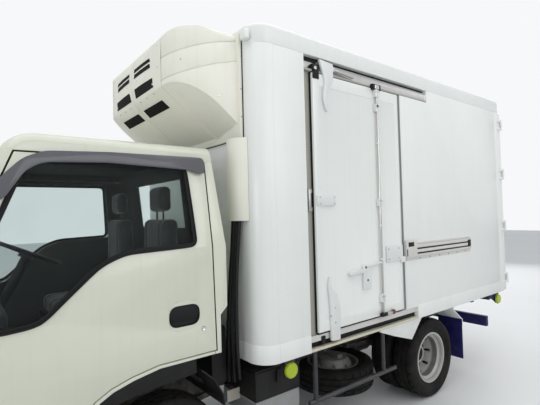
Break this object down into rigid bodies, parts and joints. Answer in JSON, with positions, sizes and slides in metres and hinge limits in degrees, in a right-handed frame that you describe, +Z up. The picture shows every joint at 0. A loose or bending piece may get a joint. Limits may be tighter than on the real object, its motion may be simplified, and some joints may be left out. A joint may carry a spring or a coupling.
{
  "type": "refrigerated truck",
  "caption": "Light cab-over truck with an insulated box body, a cooling unit above the cab, a sliding side door and twin rear doors.",
  "frame": {"origin": "on the ground, in the middle of the length and of the width", "axes": "+X forward, +Y to the truck's left, +Z up"},
  "size_m": [5.11, 2.13, 2.8889],
  "materials": {
    "white_panel": "smooth white panel, satin",
    "white_paint": "gloss white paint",
    "unit_shell": "satin white moulding",
    "frame_paint": "satin black paint",
    "cast_black": "rough black",
    "rail_metal": "brushed, slightly worn",
    "gear_metal": "white and plated fittings",
    "black_plastic": "matt black",
    "grey_plastic": "matt grey",
    "hose_rubber": "matt black",
    "tyre_rubber": "matt black",
    "rim_steel": "silver paint",
    "clear_glass": "clear",
    "lamp_lens": "clear lens",
    "rear_lens": "red lens",
    "marker_lens": "yellow-green lens",
    "bright_tank": "satin",
    "seat_fabric": "woven dark grey"
  },
  "bodies": {
    "chassis": {"frame_rails": "frame_paint", "body_bearers": "frame_paint", "leaf_springs": "cast_black", "axles": "cast_black", "engine_block": "cast_black", "drive_shaft": "frame_paint", "front_bumper": "white_paint", "spare_tyre": "tyre_rubber", "spare_rim": "rim_steel", "box_floor": "white_panel", "box_front_wall": "white_panel", "box_left_wall": "white_panel", "box_right_wall": "white_panel", "box_roof": "white_panel", "box_rear_frame": "white_panel", "side_door": "white_panel", "side_door_surround": "rail_metal", "side_door_gear": "gear_metal", "cooling_unit": "unit_shell", "hose_duct": "unit_shell", "cooling_hoses": "hose_rubber", "guard_bars": "frame_paint", "rear_lamps": "rear_lens", "marker_lamps": "marker_lens", "battery_box": "black_plastic", "fuel_tank": "bright_tank", "silencer": "bright_tank", "air_cleaner": "black_plastic", "rear_wings": "white_panel", "mudguards": "black_plastic"},
    "cab": {"cab_roof": "white_paint", "cab_back_panel": "white_paint", "cab_floor": "white_paint", "cab_front_panel": "white_paint", "headlamps": "lamp_lens", "cab_glass": "clear_glass", "arch_liners": "black_plastic", "seat_bases": "black_plastic", "seat_cushions": "seat_fabric", "seat_backs": "seat_fabric", "dashboard": "black_plastic", "mirrors": "black_plastic"},
    "door_left": {"door_left": "white_paint", "door_glass_left": "clear_glass"},
    "door_right": {"door_right": "white_paint", "door_glass_right": "clear_glass"},
    "steering_wheel": {"steering_wheel": "black_plastic"},
    "knuckle_left": {"knuckle_left": "cast_black"},
    "knuckle_right": {"knuckle_right": "cast_black"},
    "tie_rod": {"tie_rod": "frame_paint"},
    "front_wheel_left": {"front_tyre_left": "tyre_rubber", "front_rim_left": "rim_steel"},
    "front_wheel_right": {"front_tyre_right": "tyre_rubber", "front_rim_right": "rim_steel"},
    "rear_wheels_left": {"rear_tyres_left": "tyre_rubber", "rear_rims_left": "rim_steel"},
    "rear_wheels_right": {"rear_tyres_right": "tyre_rubber", "rear_rims_right": "rim_steel"},
    "rear_door_left": {"rear_door_left": "white_panel"},
    "rear_door_right": {"rear_door_right": "white_panel"}
  },
  "joints": [
    {"name": "cab_tilt", "type": "hinge", "parent": "chassis", "child": "cab", "pos_m": [2.42, 0, 0.6], "axis": [0, 1, 0], "range_deg": [0, 45]},
    {"name": "door_left_swing", "type": "hinge", "parent": "cab", "child": "door_left", "pos_m": [2.388, 0.8413, 1.2], "axis": [0, 0, -1], "range_deg": [0, 65]},
    {"name": "door_right_swing", "type": "hinge", "parent": "cab", "child": "door_right", "pos_m": [2.388, -0.8413, 1.2], "axis": [0, 0, 1], "range_deg": [0, 65]},
    {"name": "steering_wheel_turn", "type": "hinge", "parent": "cab", "child": "steering_wheel", "pos_m": [1.98, -0.38, 1.45], "axis": [-0.4226, 0, 0.9063], "range_deg": [-540, 540]},
    {"name": "steer_left", "type": "hinge", "parent": "chassis", "child": "knuckle_left", "pos_m": [1.485, 0.62, 0.345], "axis": [0, 0, 1], "range_deg": [-35, 35]},
    {"name": "steer_right", "type": "hinge", "parent": "chassis", "child": "knuckle_right", "pos_m": [1.485, -0.62, 0.345], "axis": [0, 0, 1], "range_deg": [-35, 35]},
    {"name": "tie_rod_ball", "type": "hinge", "parent": "knuckle_left", "child": "tie_rod", "pos_m": [1.335, 0.57, 0.25], "axis": [0, 0, 1], "range_deg": [-35, 35]},
    {"name": "front_left_spin", "type": "hinge", "parent": "knuckle_left", "child": "front_wheel_left", "pos_m": [1.485, 0.7, 0.345], "axis": [0, 1, 0], "continuous": true},
    {"name": "front_right_spin", "type": "hinge", "parent": "knuckle_right", "child": "front_wheel_right", "pos_m": [1.485, -0.7, 0.345], "axis": [0, 1, 0], "continuous": true},
    {"name": "rear_left_spin", "type": "hinge", "parent": "chassis", "child": "rear_wheels_left", "pos_m": [-1.005, 0.66, 0.345], "axis": [0, 1, 0], "continuous": true},
    {"name": "rear_right_spin", "type": "hinge", "parent": "chassis", "child": "rear_wheels_right", "pos_m": [-1.005, -0.66, 0.345], "axis": [0, 1, 0], "continuous": true},
    {"name": "rear_door_left_swing", "type": "hinge", "parent": "chassis", "child": "rear_door_left", "pos_m": [-2.513, 0.932, 1.755], "axis": [0, 0, -1], "range_deg": [0, 250]},
    {"name": "rear_door_right_swing", "type": "hinge", "parent": "chassis", "child": "rear_door_right", "pos_m": [-2.513, -0.932, 1.755], "axis": [0, 0, 1], "range_deg": [0, 250]}
  ],
  "couplings": [
    {"joint": "steer_right", "follows": "steer_left", "ratio": 1},
    {"joint": "tie_rod_ball", "follows": "steer_left", "ratio": -1}
  ]
}
